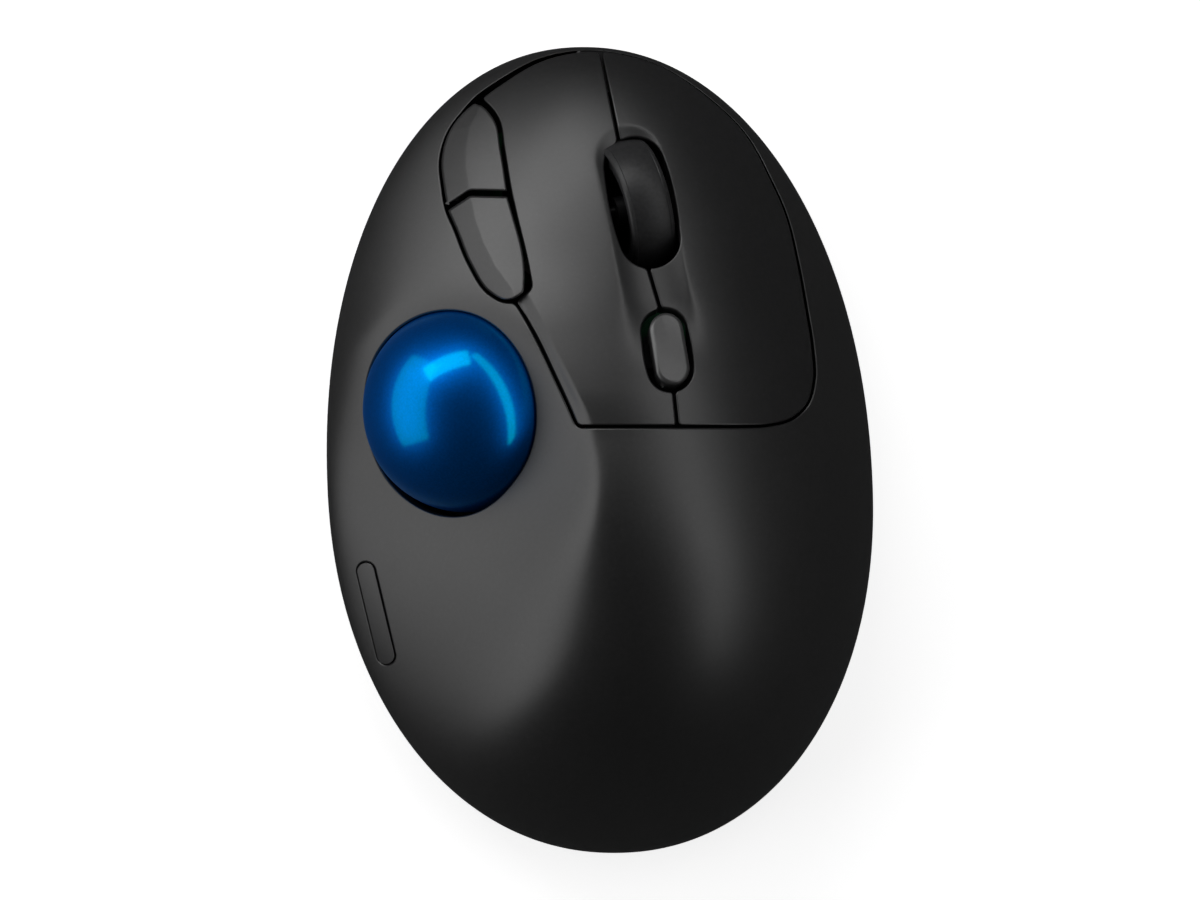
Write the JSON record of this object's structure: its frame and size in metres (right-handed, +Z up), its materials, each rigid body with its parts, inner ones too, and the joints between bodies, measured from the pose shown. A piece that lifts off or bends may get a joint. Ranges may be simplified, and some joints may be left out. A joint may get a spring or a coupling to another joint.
{
  "type": "trackball mouse",
  "caption": "Thumb-operated trackball mouse: sculpted casing with palm rest, ball in a side cup, long main keys, wheel, small buttons, and the switches and boards that make it work.",
  "frame": {"origin": "middle of the body seen from above, on the table under the rubber feet", "axes": "+X to the right of the hand, +Y to the front where the keys are, +Z up"},
  "size_m": [0.0901, 0.1326, 0.0453],
  "materials": {
    "shell": "fine satin texture, near black",
    "base": "matt, near black",
    "keys": "fine satin texture, near black",
    "buttons": "satin, dark grey",
    "tyre": "soft matt rubber",
    "hub": "moulded",
    "steel": "ground steel",
    "nylon": "natural nylon",
    "frame": "moulded",
    "ball": "deep blue pearl under clear gloss",
    "ceramic": "polished ceramic",
    "window": "smoked translucent",
    "lens": "clear",
    "board": "green solder mask",
    "chip": "moulded epoxy",
    "switch": "moulded",
    "cell": "foil wrap",
    "feet": "soft rubber"
  },
  "bodies": {
    "casing": {"upper_shell": "shell", "base_shell": "base", "led_window": "window", "ball_cup": "frame", "bearing_balls": "ceramic", "sensor_lens": "lens", "ball_sensor": "chip", "sensor_board": "board", "left_switch": "switch", "right_switch": "switch", "middle_switch": "switch", "main_board": "board", "controller_chip": "chip", "usb_inlet": "steel", "led_board": "board", "key_frame": "frame", "key_hinge_pins": "steel", "dpi_board": "board", "dpi_switch": "switch", "thumb_board": "board", "thumb_board_posts": "frame", "thumb_switches": "switch", "battery": "cell", "power_switch": "switch", "pairing_switch": "switch", "feet": "feet", "case_screws": "steel", "board_screws": "steel"},
    "left_key": {"left_key": "keys"},
    "right_key": {"right_key": "keys"},
    "forward_button": {"forward_button": "buttons"},
    "back_button": {"back_button": "buttons"},
    "dpi_button": {"dpi_button": "buttons"},
    "wheel_carrier": {"wheel_carrier": "nylon", "wheel_encoder": "switch"},
    "wheel": {"wheel_hub": "hub", "wheel_tyre": "tyre", "wheel_axle": "steel"},
    "trackball": {"trackball": "ball"},
    "power_slider": {"power_slider": "buttons"},
    "pairing_button": {"pairing_button": "buttons"},
    "receiver": {"receiver": "switch"}
  },
  "joints": [
    {"name": "left_key_press", "type": "hinge", "parent": "casing", "child": "left_key", "pos_m": [0.0038, 0.008, 0.0354], "axis": [-1, 0, 0], "range_deg": [0, 0.9], "stiffness_Nm_per_rad": 6, "springref_deg": -1.72},
    {"name": "right_key_press", "type": "hinge", "parent": "casing", "child": "right_key", "pos_m": [0.0194, 0.008, 0.0306], "axis": [-1, 0, 0], "range_deg": [0, 0.9], "stiffness_Nm_per_rad": 6, "springref_deg": -1.72},
    {"name": "forward_button_press", "type": "slide", "parent": "casing", "child": "forward_button", "axis": [0, 0, -1], "range_m": [0, 0.0005], "stiffness_N_per_m": 800, "springref_m": -0.0004},
    {"name": "back_button_press", "type": "slide", "parent": "casing", "child": "back_button", "axis": [0, 0, -1], "range_m": [0, 0.0005], "stiffness_N_per_m": 800, "springref_m": -0.0004},
    {"name": "dpi_button_press", "type": "slide", "parent": "casing", "child": "dpi_button", "axis": [-0.266, -0.4016, -0.8763], "range_m": [0, 0.0005], "stiffness_N_per_m": 800, "springref_m": -0.0004},
    {"name": "wheel_click", "type": "slide", "parent": "casing", "child": "wheel_carrier", "axis": [-0.2522, -0.0582, -0.9659], "range_m": [0, 0.0004], "stiffness_N_per_m": 1200, "springref_m": -0.0004},
    {"name": "wheel_spin", "type": "hinge", "parent": "wheel_carrier", "child": "wheel", "pos_m": [0.0054, 0.0397, 0.0208], "axis": [0.9412, 0.2173, -0.2588], "continuous": true},
    {"name": "ball_spin", "type": "hinge", "parent": "casing", "child": "trackball", "pos_m": [-0.02186, 0.00677, 0.023], "axis": [0.3907, -0.9205, 0], "continuous": true},
    {"name": "power_slide", "type": "slide", "parent": "casing", "child": "power_slider", "axis": [1, 0, 0], "range_m": [0, 0.003]},
    {"name": "pairing_press", "type": "slide", "parent": "casing", "child": "pairing_button", "axis": [0, 0, 1], "range_m": [0, 0.0003], "stiffness_N_per_m": 800, "springref_m": -0.0004},
    {"name": "receiver_pull", "type": "slide", "parent": "casing", "child": "receiver", "axis": [0, 0, -1], "range_m": [0, 0.012]}
  ]
}
